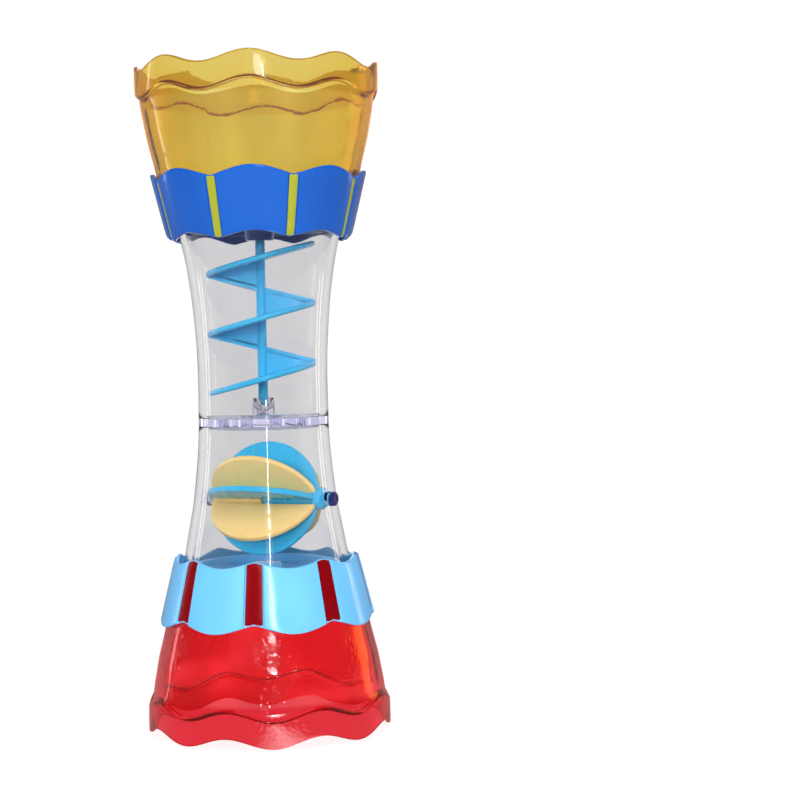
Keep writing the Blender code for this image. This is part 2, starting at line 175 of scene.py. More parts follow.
def spline(points, steps=4):
    """A smooth line through points, as a list of tuples, ends included."""
    given = [np.array(point, float) for point in points]
    padded = [2 * given[0] - given[1], *given, 2 * given[-1] - given[-2]]
    line = []
    for i in range(1, len(padded) - 2):
        before, start, end, after = padded[i - 1:i + 3]
        for k in range(steps):
            part = k / steps
            line.append(tuple(0.5 * (2 * start + (end - before) * part
                                     + (2 * before - 5 * start + 4 * end - after) * part ** 2
                                     + (3 * start - before - 3 * end + after) * part ** 3)))
    line.append(tuple(given[-1]))
    return line


def polar(radius, angle, z):
    """Points about Z, as an array with x, y, z last; angle is in radians."""
    return np.stack(np.broadcast_arrays(radius * np.cos(angle), radius * np.sin(angle), z),
                    axis=-1)


def turned(points, columns, closed=False, steps=4):
    """A turned solid about Z from (radius, z, corner radius) points."""
    radius, z = fillet(points, closed, steps).T[:, :, None]
    angle = np.radians(np.linspace(0, 360, columns, endpoint=False))
    return grid(polar(radius, angle, z), wrap_u=closed)


def along_x(solid):
    """Turns a solid of revolution about Z into one about the wheel's axle."""
    bmesh.ops.rotate(solid, verts=solid.verts, cent=(0, 0, 0),
                     matrix=Matrix.Rotation(math.radians(90), 3, "Y"))
    bmesh.ops.translate(solid, verts=solid.verts, vec=(0, 0, WHEEL_Z))
    return solid


def add_cylinder(solid, centre, radius, depth, segments):
    made = bmesh.ops.create_cone(solid, cap_ends=True, segments=segments, radius1=radius,
                                 radius2=radius, depth=depth)
    bmesh.ops.translate(solid, verts=made["verts"], vec=centre)


def drill(obj, cutters, name):
    """Cuts the closed bmesh, in millimetres, out of obj and keeps the result."""
    bmesh.ops.recalc_face_normals(cutters, faces=cutters.faces)
    scale_to_metres(cutters)
    cutter = mesh_object(name, cutters)
    mod = obj.modifiers.new("drill", "BOOLEAN")
    mod.object = cutter
    mod.operation = "DIFFERENCE"
    mod.solver = "EXACT"
    bpy.context.view_layer.update()
    graph = bpy.context.evaluated_depsgraph_get()
    cut = bpy.data.meshes.new_from_object(obj.evaluated_get(graph))
    obj.modifiers.clear()
    obj.data = cut
    smooth(cut, 38)
    bpy.data.objects.remove(cutter)


def drill_ring(obj, name, ring_r, hole_r, z, segments, first=0.0):
    """Drills eight upright holes in a ring; first is a heading in degrees."""
    cutters = bmesh.new()
    for k in range(8):
        angle = math.radians(first + 45.0 * k)
        centre = (ring_r * math.cos(angle), ring_r * math.sin(angle), z)
        add_cylinder(cutters, centre, hole_r, depth=8, segments=segments)
    drill(obj, cutters, name)


# ------------------------------------------------------------------ materials
def linear(*srgb):
    """A linear colour from 0-255 sRGB."""
    return tuple((c / 255 / 12.92) if c / 255 <= 0.04045
                 else ((c / 255 + 0.055) / 1.055) ** 2.4 for c in srgb)


def opaque(colour):
    return (*colour, 1)


def varied(colour, down, up_by):
    """The colour darkened and lightened by these shares."""
    return (opaque([c * (1 - down) for c in colour]),
            opaque([min(1.0, c * (1 + up_by)) for c in colour]))


class Nodes:
    """The shader nodes of a material or a world. Where a method takes a
    value, it also takes an output socket."""
    def __init__(self, owner):
        owner.use_nodes = True
        self.tree = owner.node_tree

    def feed(self, socket, given):
        if isinstance(given, bpy.types.NodeSocket):
            self.tree.links.new(given, socket)
        else:
            socket.default_value = given

    def put(self, node, **values):
        """Sets properties, or inputs with _ written for the space."""
        for key, value in values.items():
            if hasattr(node, key):
                setattr(node, key, value)
            else:
                self.feed(node.inputs[key.replace("_", " ")], value)

    def add(self, kind, **values):
        node = self.tree.nodes.new(kind)
        self.put(node, **values)
        return node

    def shade(self, **values):
        self.put(self.tree.nodes["Principled BSDF"], **values)

    def surface(self, shader):
        self.put(self.tree.nodes["Material Output"], Surface=shader)

    def coord(self, kind="Object"):
        return self.add("ShaderNodeTexCoord").outputs[kind]

    def noise(self, scale, detail, stretch=None):
        source = self.coord()
        if stretch:
            mapping = self.add("ShaderNodeMapping", Vector=source, Scale=stretch)
            source = mapping.outputs["Vector"]
        noise = self.add("ShaderNodeTexNoise", Vector=source, Scale=scale, Detail=detail)
        return noise.outputs["Fac"]

    def span(self, value, low, high, start=0.3, end=0.7):
        """low where value is start, high where it is end."""
        node = self.add("ShaderNodeMapRange", Value=value, From_Min=start, From_Max=end,
                        To_Min=low, To_Max=high)
        return node.outputs["Result"]

    def maths(self, operation, *inputs, kind="ShaderNodeMath"):
        node = self.add(kind, operation=operation)
        for i, given in enumerate(inputs):
            self.feed(node.inputs[i], given)
        return node.outputs["Value"]

    def mix(self, factor, low, high, colour=False):
        """low where factor is 0, high where it is 1."""
        node = self.add("ShaderNodeMix", data_type="RGBA" if colour else "FLOAT")
        first = 6 if colour else 2
        for i, given in ((0, factor), (first, low), (first + 1, high)):
            self.feed(node.inputs[i], given)
        return node.outputs[2 if colour else 0]

    def mix_shaders(self, factor, low, high):
        node = self.add("ShaderNodeMixShader")
        for i, given in enumerate((factor, low, high)):
            self.feed(node.inputs[i], given)
        return node.outputs[0]

    def bump(self, height, **values):
        return self.add("ShaderNodeBump", Height=height, **values).outputs["Normal"]

    def by_ray(self, seen, plain, glossy, mirrored, clear_view):
        """A strength that depends on how the surface is seen: by the camera,
        as plain light, in a reflection, inside clear plastic after a
        reflection, or straight through clear plastic."""
        path = self.add("ShaderNodeLightPath").outputs
        other = self.maths("SUBTRACT", path["Ray Depth"], path["Transmission Depth"])
        bounced = self.maths("GREATER_THAN", other, 0.5)
        through = self.mix(bounced, clear_view, mirrored)
        value = self.mix(path["Is Camera Ray"], plain, seen)
        value = self.mix(path["Is Glossy Ray"], value, glossy)
        return self.mix(path["Is Transmission Ray"], value, through)

    def darker_in_front(self, source, start, end, full, dim):
        """full behind and beside the object, easing to dim towards the viewer."""
        ahead = self.maths("DOT_PRODUCT", source, towards, kind="ShaderNodeVectorMath")
        return self.span(ahead, low=full, high=dim, start=start, end=end)


def gloss(name, colour, rough, scatter=0.06, shine=0.5, painted_corner_shade=None):
    """Moulded opaque plastic: slight mottling, rub marks and a faint ripple.
    The corner colour given is painted shade: the base darkens to it in tight inner corners, where
    the AO node finds nearby surfaces."""
    mat = bpy.data.materials.new(name)
    nodes = Nodes(mat)
    mottle = nodes.span(nodes.noise(scale=55.0, detail=2.0), low=0.0, high=1.0)
    base = nodes.mix(mottle, *varied(colour, 0.06, 0.06), colour=True)
    # painted shade: the base colour darkens where other surfaces lie close, standing in for the
    # shade in corners and under blade rims
    if painted_corner_shade:
        near = nodes.add("ShaderNodeAmbientOcclusion", samples=8, only_local=True,
                         Distance=0.0045)
        unshaded = nodes.span(near.outputs["AO"], low=0.0, high=1.0, start=0.30, end=0.85)
        base = nodes.mix(unshaded, opaque(painted_corner_shade), base, colour=True)
    patches = nodes.span(nodes.noise(scale=140.0, detail=3.0), low=rough * 0.8, high=rough * 1.35)
    streaks = nodes.noise(scale=420.0, detail=4.0, stretch=(1.0, 1.0, 0.12))
    rubs = nodes.span(streaks, low=0.0, high=0.10, start=0.55, end=0.75)
    ripple = nodes.bump(nodes.noise(scale=900.0, detail=2.0), Strength=0.10, Distance=0.00006)
    nodes.shade(Base_Color=base, Roughness=nodes.maths("ADD", patches, rubs), Normal=ripple,
                IOR=1.52, Specular_IOR_Level=shine,
                Coat_Weight=shine * 0.5, Coat_Roughness=0.06,
                Subsurface_Weight=scatter, Subsurface_Radius=(0.002, 0.002, 0.002),
                Subsurface_Scale=0.5)
    return mat


def clear(name, absorb, tint, rough, ripple, shadow=(1, 1, 1), ior=1.49, through_part=1.0,
          coat=0.0, peel=0.0, glow=(1, 1, 1), edge=0.0, band=None, craters=0.0, cloud=0.0):
    """See-through moulded plastic. absorb is what each millimetre takes away,
    per channel. Lamps shine through it, so what is inside is lit. band is a
    deeper or paler colour and the heights, in millimetres, where it starts and is full."""
    mat = bpy.data.materials.new(name)
    nodes = Nodes(mat)
    base = opaque(tint)
    if cloud:                                  # soft upright bands, as uneven walls give
        haze = nodes.noise(scale=52.0, detail=1.5, stretch=(1.0, 1.0, 0.22))
        base = nodes.mix(nodes.span(haze, low=0.0, high=1.0, start=0.38, end=0.62),
                         *varied(tint, cloud, cloud * 0.7), colour=True)
    if band:
        colour, start, end = band
        axes = nodes.add("ShaderNodeSeparateXYZ", Vector=nodes.coord())
        level = nodes.span(axes.outputs["Z"], low=0.0, high=1.0,
                           start=start * MILLI, end=end * MILLI)
        base = nodes.mix(level, base, opaque(colour), colour=True)
    streaks = nodes.noise(scale=260.0, detail=5.0, stretch=(1.0, 1.0, 0.2))
    normal = nodes.bump(nodes.noise(scale=70.0, detail=2.0, stretch=(1.0, 1.0, 0.35)),
                        Strength=ripple, Distance=0.0006)
    if craters:                                # tiny pits in the outer gloss
        pits = nodes.add("ShaderNodeTexVoronoi", Vector=nodes.coord(), Scale=820.0)
        keep = nodes.span(nodes.noise(scale=110.0, detail=2.0),
                          low=craters * 0.25, high=craters, start=0.40, end=0.60)
        nodes.shade(Coat_Normal=nodes.bump(pits.outputs["Distance"],
                                           Strength=keep, Distance=0.0005))
    if peel:                                   # orange peel, breaks up a glint
        normal = nodes.bump(nodes.noise(scale=620.0, detail=2.0),
                            Strength=peel, Distance=0.0003, Normal=normal)
    # the sheen makes dyed plastic glow with its own colour where it is seen edge on
    nodes.shade(Base_Color=base, Normal=normal, IOR=ior, Transmission_Weight=through_part,
                Roughness=nodes.span(streaks, low=rough, high=rough + 0.05, start=0.52, end=0.8),
                Coat_Weight=coat, Coat_Roughness=0.04,
                Sheen_Weight=edge, Sheen_Roughness=0.25, Sheen_Tint=opaque(glow))
    path = nodes.add("ShaderNodeLightPath")
    through = nodes.add("ShaderNodeBsdfTransparent", Color=opaque(shadow))
    nodes.surface(nodes.mix_shaders(path.outputs["Is Shadow Ray"],
                                    nodes.tree.nodes["Principled BSDF"].outputs[0],
                                    through.outputs[0]))
    # a hair above the strongest channel, so that no channel's colour is zero
    top = max(absorb) * 1.02
    volume = nodes.add("ShaderNodeVolumeAbsorption", Density=top / MILLI,
                       Color=opaque([1 - channel / top for channel in absorb]))
    nodes.put(nodes.tree.nodes["Material Output"], Volume=volume.outputs[0])
    return mat


AMBER = clear("amber_plastic", absorb=(0.05, 0.178, 0.90), rough=0.03, ripple=0.14,
              tint=(0.875, 0.93, 0.86), shadow=(0.95, 0.85, 0.5),
              ior=1.36, through_part=0.97, peel=0.06, glow=(1.0, 0.42, 0.08), edge=1.0,
              band=((0.77, 0.72, 0.48), 192.8, 194.2), cloud=0.09)
RED = clear("red_plastic", absorb=(0.04, 0.22, 0.18), rough=0.03, ripple=0.10,
            tint=(0.90, 0.105, 0.12), shadow=(0.95, 0.35, 0.35),
            ior=1.36, through_part=0.975, coat=0.4, craters=0.5, glow=(1.0, 0.05, 0.04),
            edge=0.9, band=((0.83, 0.04, 0.06), 12.6, 11.4), cloud=0.12)
CLEAR = clear("clear_plastic", absorb=(0.004, 0.004, 0.003), rough=0.01, ripple=0.10,
              tint=(0.83, 0.827, 0.837), cloud=0.02)
# painted light: the socket above z 97 mm is tinted paler, offsetting the dark that refraction
# gives it
DISC = clear("clear_disc_plastic", absorb=(0.006, 0.007, 0.002), rough=0.01, ripple=0.18,
             tint=(0.84, 0.85, 0.945), band=((0.96, 0.965, 0.99), 97.0, 98.0))
BLUE = gloss("blue_plastic", linear(6, 79, 170), rough=0.15)
PALE = gloss("pale_sky_plastic", linear(101, 177, 230), rough=0.15)
# the auger's and wheel's blue, with painted shade darkening its inner corners
SKY = gloss("sky_plastic", linear(62, 186, 236), rough=0.24, scatter=0.10, shine=0.35,
            painted_corner_shade=linear(14, 122, 160))
CREAM = gloss("cream_plastic", linear(255, 214, 142), rough=0.27, scatter=0.12, shine=0.2)
NAVY = gloss("navy_plastic", linear(30, 28, 88), rough=0.2)
LIME = gloss("lime_stripe", linear(146, 152, 34), rough=0.2)
WINE = gloss("wine_stripe", linear(118, 2, 10), rough=0.2, shine=0.12)


# ----------------------------------------------------------------------- cups
def cup(name, upper, crest, mat, replaces):
    """A cup with a wavy rim, tapering to a nose inside the collar."""
    nose_d = WEB_CUP_D - 0.3
    nose_r = skirt_r(nose_d) - LIP
    # radius, depth, share of the rim's wave
    flank = [(35.5, 15.2, 0), (34.85, 18.8, 0), (34.15, 22.6, 0), (33.25, 26.3, 0),
             (32.3, 30.0, 0), (skirt_r(32.4) - LIP, 32.4, 0)]
    outer = spline([(36.1, 10.9, 0.85), *flank])
    inner = spline([*((r - CUP_WALL, d, share) for r, d, share in reversed(flank)),
                    (34.25, 10.6, 0.85)])
    # radius, depth, share of the wave, corner radius
    points = [(35.95, RIM_D, 1, 0.55), (37.42, RIM_D, 1, 0.72), (37.45, 6.0, 1, 0),
              (37.35, 9.75, 1, 0.5), (36.35, 10.45, 1, 0.35),
              *((*point, 0) for point in outer),
              (nose_r, nose_d, 0, 0.5), (nose_r - CUP_WALL, nose_d, 0, 0.5),
              *((*point, 0) for point in inner),
              (34.4, 9.5, 1, 0.4), (35.5, 8.9, 1, 0.4), (35.75, 6.0, 1, 0)]
    radius, depth, wave_share = fillet(points, True, 5).T[:, :, None]
    heading = np.linspace(0, 360, 320, endpoint=False)
    wave = np.cos(np.radians(WAVES * (heading - crest)))
    # soft facets: each of the eight panels is a little flatter than a circle
    off = np.radians((heading - crest + HALF_PITCH) % PITCH - HALF_PITCH)
    flat = math.cos(math.radians(HALF_PITCH)) / np.cos(off)
    outer_r = np.interp(depth, [point[1] for point in outer], [point[0] for point in outer])
    inside = radius < outer_r - CUP_WALL / 2
    fade = np.clip((depth - 11.0) / 5.0, 0, 1) * np.clip((36.0 - depth) / 5.0, 0, 1)
    facet = np.where(inside, 0.12, 0.06) * fade
    points = polar(radius * (1 - facet + facet * flat), np.radians(heading),
                   end_z(depth - wave_share * RIM_WAVE * wave, upper))
    return make(name, grid(points), mat, "shell", 50, replaces)


upper_cup = cup("upper_cup_body", True, UPPER_CREST, AMBER, "upper_cup")
lower_cup = cup("lower_cup_body", False, LOWER_CREST, RED, "lower_cup")


# -------------------------------------------------------------------- collars
def arch(theta):
    """A panel edge, rounder than a cosine; theta is 0 midway between stripes
    and 1 at a stripe."""
    return 0.55 * np.cos(math.pi * theta) + 0.45 * (1 - 2 * np.abs(theta) ** 2.3)


def skirt(upper, stripe, half):
    """The conical skirt, with a channel of this half width for each stripe."""
    ease = 0.5                                 # width of a channel's side, degrees
    # one panel's columns, in degrees off the stripe: close together at the channel
    side = np.array([-ease - 0.6, -ease, -ease * 0.75, -ease * 0.4, -ease * 0.15, 0]) - half
    columns = np.concatenate([np.linspace(-HALF_PITCH, side[0], 20, endpoint=False), side,
                              np.linspace(-half, half, 6)[1:-1], -side[::-1],
                              np.linspace(-side[0], HALF_PITCH, 20, endpoint=False)[1:]])
    heading = np.concatenate([stripe + PITCH * k + columns for k in range(WAVES)])
    off = np.abs(np.tile(columns, WAVES))
    theta = 1 - off / HALF_PITCH
    channel = np.clip((half + ease - off) / ease, 0, 1)
    channel = channel * channel * (3 - 2 * channel)
    top, mid, end = COLLAR_TOP_D, COLLAR_MID_D, COLLAR_END_D
    # radius, depth, share of the top wave, of the end wave, outer face, corner radius
    points = [(skirt_r(top) - SKIRT_WALL, top, 1, 0, 0, 0.35),
              (skirt_r(top), top, 1, 0, 1, 0.55),
              (skirt_r(top + 3), top + 3, 0.6, 0, 1, 0),
              (skirt_r(mid), mid, 0, 0, 1, 0),
              (skirt_r(end - 3), end - 3, 0, 0.6, 1, 0),
              (skirt_r(end) - 0.1, end, 0, 1, 1, 0.7),
              (skirt_r(end) - SKIRT_WALL, end, 0, 1, 0, 0.4),
              (skirt_r(mid) - SKIRT_WALL, mid, 0, 0, 0, 0)]
    radius, depth, top_share, end_share, outer = fillet(points, True, 5).T[:, :, None]
    shift = arch(theta) * (top_share * TOP_WAVE + end_share * END_WAVE)
    radius = radius + SKIRT_SLOPE * shift - 0.68 * outer * channel
    # each panel is very slightly pillowed across its width
    radius = radius - 0.10 * outer * (1 - channel) * (1 - theta) ** 2
    return grid(polar(radius, np.radians(heading), end_z(depth - shift, upper)))


def strainer(upper, boss_d, bored):
    """The web across the collar, with its locating lip and hub, undrilled."""
    inset = SKIRT_WALL - 0.4                   # the web's edge runs into the skirt
    # radius, depth, corner radius
    points = [(0, WEB_CUP_D, 0), (skirt_r(WEB_CUP_D) - inset, WEB_CUP_D, 0),
              (skirt_r(WEB_TUBE_D) - inset, WEB_TUBE_D, 0), (23.4, WEB_TUBE_D, 0.3),
              (22.7, WEB_TUBE_D + 2.5, 0.4), (21.5, WEB_TUBE_D + 2.5, 0.4),
              (21.4, WEB_TUBE_D, 0.3), (5.0, WEB_TUBE_D, 0.8), (4.3, boss_d, 0.5)]
    if bored:
        points += [(1.65, boss_d, 0.2), (1.65, WEB_TUBE_D + 0.6, 0), (0, WEB_TUBE_D + 0.6, 0)]
    else:
        points += [(0, boss_d, 0)]
    return turned([(radius, end_z(depth, upper), corner) for radius, depth, corner in points], 96)


def stripe_bar(upper, centre, half):
    """One stripe, a hair narrower than its channel, its face softly edged."""
    across, down = 7, 26
    off = np.linspace(-half + 0.48, half - 0.48, across)
    wave = arch(1 - np.abs(off) / HALF_PITCH)
    row = np.arange(down)[:, None]
    top = COLLAR_TOP_D + 0.35 - wave * TOP_WAVE
    bottom = COLLAR_END_D - 0.25 - wave * END_WAVE
    depth = top + (bottom - top) * row / (down - 1)
    end_drop = 0.30 * np.clip(1 - np.minimum(row, down - 1 - row) / 1.5, 0, None)
    side_drop = 0.10 * np.abs(np.linspace(-1, 1, across)) ** 6
    angle, z = np.radians(centre + off), end_z(depth, upper)
    face = polar(skirt_r(depth) - 0.40 - end_drop - side_drop, angle, z)
    back = polar(skirt_r(depth) - 0.80, angle, z)
    solid = grid(np.concatenate([face, back[:, ::-1]], axis=1), wrap_u=False)
    solid.verts.ensure_lookup_table()
    ring, last = range(2 * across), (down - 1) * 2 * across
    solid.faces.new([solid.verts[j] for j in ring])
    solid.faces.new([solid.verts[last + j] for j in reversed(ring)])
    return solid


def collar(name, upper, stripe, channel, boss_d, bored, mat, stripe_mat):
    half = math.degrees(channel / 2 / 31.0)    # channel width taken at radius 31
    make(name + "_skirt", skirt(upper, stripe, half), mat, "shell", 50, name)
    web = make(name + "_web", strainer(upper, boss_d, bored), mat, "shell", 40)
    drill_ring(web, name + "_drills", ring_r=14.5, hole_r=2.8,
               z=end_z((WEB_CUP_D + WEB_TUBE_D) / 2, upper), segments=40,
               first=stripe + HALF_PITCH)
    for k in range(WAVES):
        make(f"{name}_stripe_{k + 1}", stripe_bar(upper, stripe + PITCH * k, half),
             stripe_mat, "shell", 40)


collar("upper_collar", True, UPPER_STRIPE, channel=3.1, boss_d=54.0, bored=True,
       mat=BLUE, stripe_mat=LIME)
collar("lower_collar", False, LOWER_STRIPE, channel=5.7, boss_d=51.4, bored=False,
       mat=PALE, stripe_mat=WINE)

# ----------------------------------------------------------------- clear tube
# outer radius, z, from the partition outwards
UPPER_TUBE = [(20.1, 96.68), (19.97, 106.0), (20.12, 116.0), (20.8, 126.4),
              (21.65, 135.0), (22.8, 143.0), (24.1, 149.5), (25.8, 155.7)]
LOWER_TUBE = [(20.1, 93.97), (20.5, 86.0), (21.3, 78.0), (22.3, 70.0),
              (23.7, 62.5), (24.9, 56.0), (26.2, 49.3)]


def tube(name, stations, replaces):
    outer = spline(stations)
    corners = [0.12] + [0] * (len(outer) - 2) + [0.12]
    points = [(radius, z, corner) for (radius, z), corner in zip(outer, corners)]
    points += [(radius - TUBE_WALL, z, corner) for radius, z, corner in reversed(points)]
    return make(name, turned(points, 160, True, 3), CLEAR, "shell", 50, replaces)


tube("upper_tube_wall", UPPER_TUBE, "upper_tube")
lower_tube = tube("lower_tube_wall", LOWER_TUBE, "lower_tube")
# the +X end of the axle passes through a hole, the -X end sits in a boss
hole = bmesh.new()
add_cylinder(hole, (0, 0, 21), radius=2.25, depth=6, segments=40)
drill(lower_tube, along_x(hole), "nose_hole")
boss = [(1.4, -20.6, 0), (2.6, -20.6, 0), (2.6, -18.7, 0.25), (1.4, -18.7, 0.15)]
make("journal_boss", along_x(turned(boss, 48, True, 3)), CLEAR, "shell", 50)

# ------------------------------------------------------------- partition disc
# radius, z, corner radius; the pointed socket in the middle holds the auger
DISC_OUTLINE = [
    (0, 98.2, 0), (1.9, 101.2, 0.3), (2.35, 102.4, 0.1), (3.25, 102.4, 0.3),
    (3.6, 96.6, 0.5), (16.6, 96.6, 0.2), (16.7, 97.7, 0.3), (17.7, 97.7, 0.3),
    (17.8, 96.6, 0.2), (20.1, 96.6, 0.12), (20.1, 94.05, 0.12), (17.8, 94.05, 0.2),
    (17.7, 92.95, 0.3), (16.7, 92.95, 0.3), (16.6, 94.05, 0.2), (0, 94.05, 0)]
disc = make("partition", turned(DISC_OUTLINE, 128), DISC, "shell", 40,
            "partition_disc")
drill_ring(disc, "partition_holes", ring_r=10.6, hole_r=2.1, z=95.3, segments=36)

# ---------------------------------------------------------------------- auger
# Blades and webs are built with their front towards -Y, then turned to face
# the viewer. Half-round blades tilt alternately, joined by webs at their ends.
BLADE_R, BLADE_T, RISE, BLADE_Z0 = 16.9, 1.7, 9.22, 103.8
HALF_WEB = 0.8                     # half the webs' thickness
BLADE_BEAD = 0.1                   # how far the rim's bead stands out
AUGER_TURN = Matrix.Rotation(math.radians(26.1), 4, "Z")
# radius, z, corner radius
SHAFT = [(0, 98.62, 0), (0.35, 98.9, 0.2), (0.95, 100.6, 0), (1.25, 100.7, 0.1),
         (1.25, 101.1, 0.1), (1.12, 101.2, 0), (1.4, 102.1, 0.1), (1.62, 102.3, 0.1),
         (1.62, 102.8, 0.1), (1.5, 102.95, 0.1), (1.5, 150.6, 0.2), (1.35, 150.8, 0),
         (1.35, 154.6, 0.3), (0, 154.6, 0)]


def blade(z_left, front):
    """A flat half-round blade with a rounded rim and a slightly raised bead."""
    side = 1 if front else -1
    slope = side * RISE / (2 * BLADE_R)
    over = math.asin(HALF_WEB / BLADE_R)
    half = BLADE_T / 2 / math.cos(math.atan(slope))
    rim = BLADE_T / 2 / BLADE_R
    thin = half - BLADE_BEAD
    # share of the radius, height off the blade's middle plane
    section = [(0.0, -thin), (0.55, -thin), (0.90, -thin), (0.925, -half)]
    section += [(1 - rim + rim * math.sin(math.radians(turn)),
                 -half * math.cos(math.radians(turn))) for turn in range(0, 181, 15)]
    section += [(0.925, half), (0.90, thin), (0.55, thin), (0.0, thin)]
    rows = []
    for share, lift in section:
        row = []
        for angle in np.linspace(-over, math.pi + over, 97):
            # the section shrinks towards the middle of the straight edge
            x = BLADE_R * math.cos(angle) * share
            y = -HALF_WEB + (BLADE_R * math.sin(angle) + HALF_WEB) * share
            row.append((x, -side * y, z_left + slope * (x + BLADE_R) + lift))
        rows.append(row)
    solid = grid(np.array(rows), wrap_u=False, wrap_v=False)
    bmesh.ops.remove_doubles(solid, verts=solid.verts, dist=1e-4)
    bmesh.ops.holes_fill(solid, edges=[edge for edge in solid.edges if edge.is_boundary])
    bmesh.ops.transform(solid, matrix=AUGER_TURN, verts=solid.verts)
    return solid


def triangular_web(z_tip, left):
    """A triangular web in the parting plane, its edges softly rounded."""
    side = -1 if left else 1
    tip, half_rise = side * (BLADE_R - 1.0), RISE / 2
    solid = slab([(tip, HALF_WEB, z_tip - 0.35), (tip, HALF_WEB, z_tip + 0.35),
                  (-side * 0.5, HALF_WEB, z_tip + half_rise),
                  (-side * 0.5, HALF_WEB, z_tip - half_rise)], (0, -2 * HALF_WEB, 0))
    bmesh.ops.bevel(solid, geom=list(solid.edges), offset=0.15, segments=2, affect="EDGES")
    bmesh.ops.transform(solid, matrix=AUGER_TURN, verts=solid.verts)
    return solid


def auger_piece(name, solid, sharp, replaces=None):
    make(name, solid, SKY, "auger", sharp, replaces)


auger_piece("auger_shaft", turned(SHAFT, 48), 40, "auger")
for k in range(3):
    low = BLADE_Z0 + 2 * RISE * k
    auger_piece(f"auger_front_blade_{k + 1}", blade(low, True), 50)
    if k < 2:
        top = low + 2 * RISE
        auger_piece(f"auger_right_web_{k + 1}", triangular_web(low + RISE, False), 40)
        auger_piece(f"auger_back_blade_{k + 1}", blade(top, False), 50)
        auger_piece(f"auger_left_web_{k + 1}", triangular_web(top, True), 40)

# ---------------------------------------------------------------------- wheel
FIN_T = 1.7
FIN_REACH, FIN_GAP = 1.2, 3.1      # inner edge, on its own hub and clear of the other
# radius, distance along +X from the middle, corner radius
BLUE_HUB = [(0, 0.05, 0), (2.45, 0.05, 0.3), (2.6, 14.5, 0), (2.75, 16.9, 0.3),
            (3.4, 16.95, 0.35), (3.4, 19.2, 0.4), (2.2, 19.75, 0.3), (1.9, 20.1, 0.3),
            (1.9, 22.0, 0.25), (1.2, 22.0, 0.1), (1.2, 17.5, 0), (0, 17.5, 0)]
AXLE = [(0, -19.8, 0), (1.15, -19.8, 0.3), (1.15, -17.4, 0.1), (1.4, -17.2, 0.1),
        (1.4, 0.6, 0), (0, 0.6, 0)]
CREAM_HUB = [(1.6, -17.0, 0.1), (2.6, -17.0, 0.4), (2.6, -0.7, 0.3), (1.6, -0.7, 0.1)]
# ribbed head with a domed end, and a shank in the hub's bore
PLUG = [(0, 18.0, 0), (1.0, 18.0, 0.3), (1.0, 22.35, 0.1), (2.1, 22.4, 0.25),
        (2.2, 22.9, 0), (2.2, 23.6, 0.2), (1.75, 24.05, 0.35), (0.9, 24.1, 0.2),
        (0.7, 23.85, 0.2), (0, 23.85, 0)]


def fin(tilt, step_x, side):
    """A half-round fin whose inner edge stands on its own hub on one side and
    clears the other half's hub on the other, stepping at step_x. The hub is
    towards +X if side is 1, towards -X if it is -1."""
    start, end = math.asin(FIN_REACH / WHEEL_R), math.pi - math.asin(FIN_GAP / WHEEL_R)
    outline = [(WHEEL_R * math.cos(angle), WHEEL_R * math.sin(angle))
               for angle in np.linspace(start, end, 73)]
    outline += [(step_x, FIN_GAP), (step_x, FIN_REACH),
                (WHEEL_R * math.cos(start) - 0.4, FIN_REACH)]
    solid = slab([(side * x, y, -FIN_T / 2) for x, y in outline], (0, 0, FIN_T))
    solid.normal_update()
    rim = [edge for edge in solid.edges if len(edge.link_faces) == 2
           and abs(edge.verts[0].co.z - edge.verts[1].co.z) < 1e-6]
    bmesh.ops.bevel(solid, geom=rim, offset=0.32, segments=3, affect="EDGES", profile=0.5)
    # local +Y points towards -Y and is raised by the tilt about the axle
    angle = math.radians(tilt)
    out = Vector((0, -math.cos(angle), math.sin(angle)))
    axle = Vector((1, 0, 0))
    turn = Matrix((axle, out, axle.cross(out))).transposed()
    bmesh.ops.transform(solid, matrix=turn.to_4x4(), verts=solid.verts)
    bmesh.ops.translate(solid, verts=solid.verts, vec=(0, 0, WHEEL_Z))
    return solid


def plug():
    radius, z = fillet(PLUG, False, 4).T[:, :, None]
    angle = np.radians(np.linspace(0, 360, 144, endpoint=False))
    ribs = 0.10 * np.clip((radius - 1.9) / 0.2, 0, 1) * (np.cos(12 * angle) - 1)
    return grid(polar(radius + ribs, angle, z), wrap_u=False)


def wheel_piece(name, solid, mat, replaces=None):
    make(name, solid, mat, "wheel", 40, replaces)


for k in range(4):
    wheel_piece(f"wheel_blue_fin_{k + 1}", fin(BLUE_FIN + 90 * k, 0.0, 1), SKY)
    wheel_piece(f"wheel_cream_fin_{k + 1}", fin(CREAM_FIN + 90 * k, 0.3, -1), CREAM)
wheel_piece("wheel_blue_hub", along_x(turned(BLUE_HUB, 64)), SKY, "wheel_blue_half")
wheel_piece("wheel_axle", along_x(turned(AXLE, 40, steps=3)), SKY)
wheel_piece("wheel_cream_hub", along_x(turned(CREAM_HUB, 64, True)), CREAM,
            "wheel_cream_half")
wheel_piece("axle_plug_head", along_x(plug()), NAVY, "axle_plug")


# ---------------------------------------------------------------------- stage
# From here on, lengths are in metres.
def place(side, near, height):
    """A point to the viewer's right, towards the viewer and up."""
    return rightwards * side + towards * near + up * height


def stage_mesh(name, solid, mat):
    obj = mesh_object(name, solid)
    obj.data.shade_smooth()
    obj.data.materials.append(mat)


